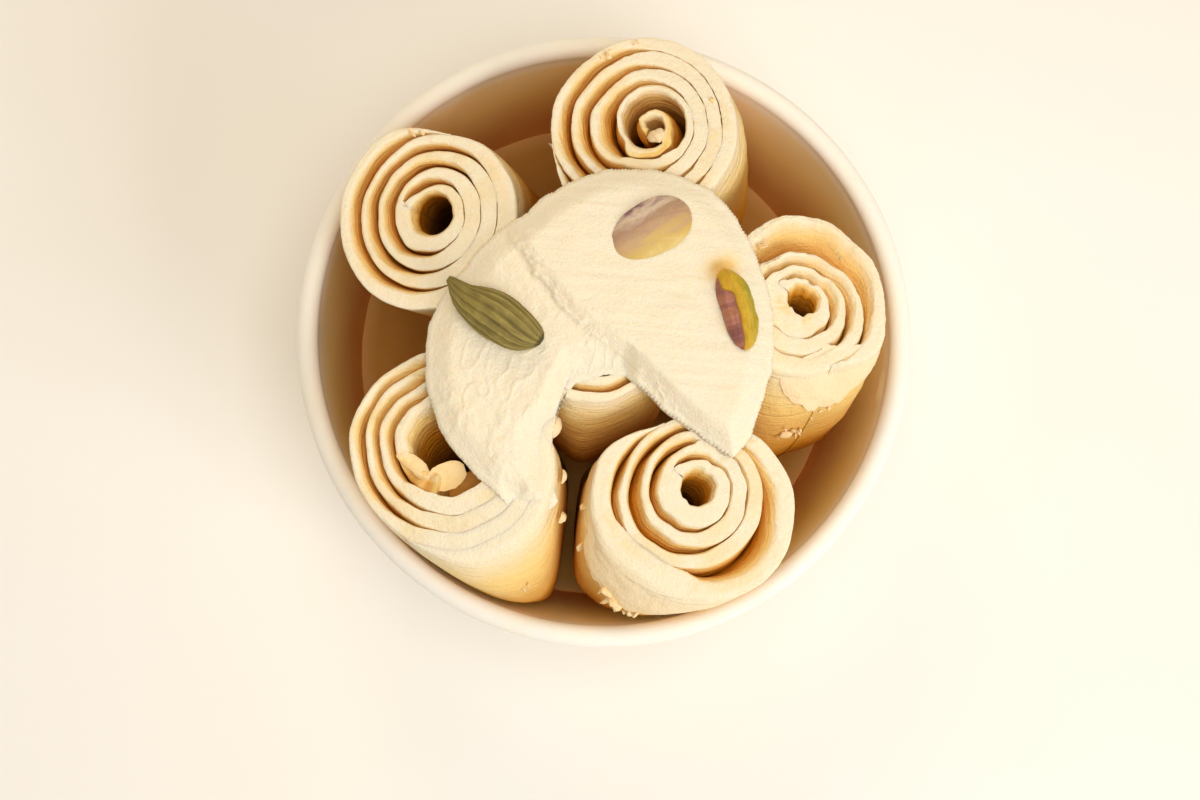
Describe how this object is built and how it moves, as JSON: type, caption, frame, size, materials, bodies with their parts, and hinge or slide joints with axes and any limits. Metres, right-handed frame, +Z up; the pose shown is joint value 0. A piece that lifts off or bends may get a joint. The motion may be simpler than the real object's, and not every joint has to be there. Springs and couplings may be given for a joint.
{
  "type": "rolled ice cream in a paper tub",
  "caption": "Rolls of scraped ice cream standing on end in a round paper tub, a folded sheet of it laid on top with a green spice pod and nuts pressed in.",
  "frame": {"origin": "on the surface under the middle of the tub", "axes": "+Z up out of the tub, +Y towards the roll at the back, +X to the right"},
  "size_m": [0.115, 0.115, 0.0692],
  "materials": {
    "coated_paper": "smooth coated board, soft sheen",
    "ice_cream": "dense frozen cream, satin, with scrape lines",
    "pod_husk": "dry ribbed husk, matt",
    "nut_skin": "thin dry skin, satin",
    "nut_flesh": "cut nut, slightly oily"
  },
  "bodies": {
    "root": {"paper_tub": "coated_paper", "roll_back_left": "ice_cream", "roll_back": "ice_cream", "roll_right": "ice_cream", "roll_front_right": "ice_cream", "roll_front_left": "ice_cream", "roll_middle": "ice_cream", "scraped_sheet": "ice_cream", "cardamom_pod": "pod_husk", "pistachio_half": "nut_skin", "pistachio_sliver": "nut_flesh"}
  },
  "joints": []
}
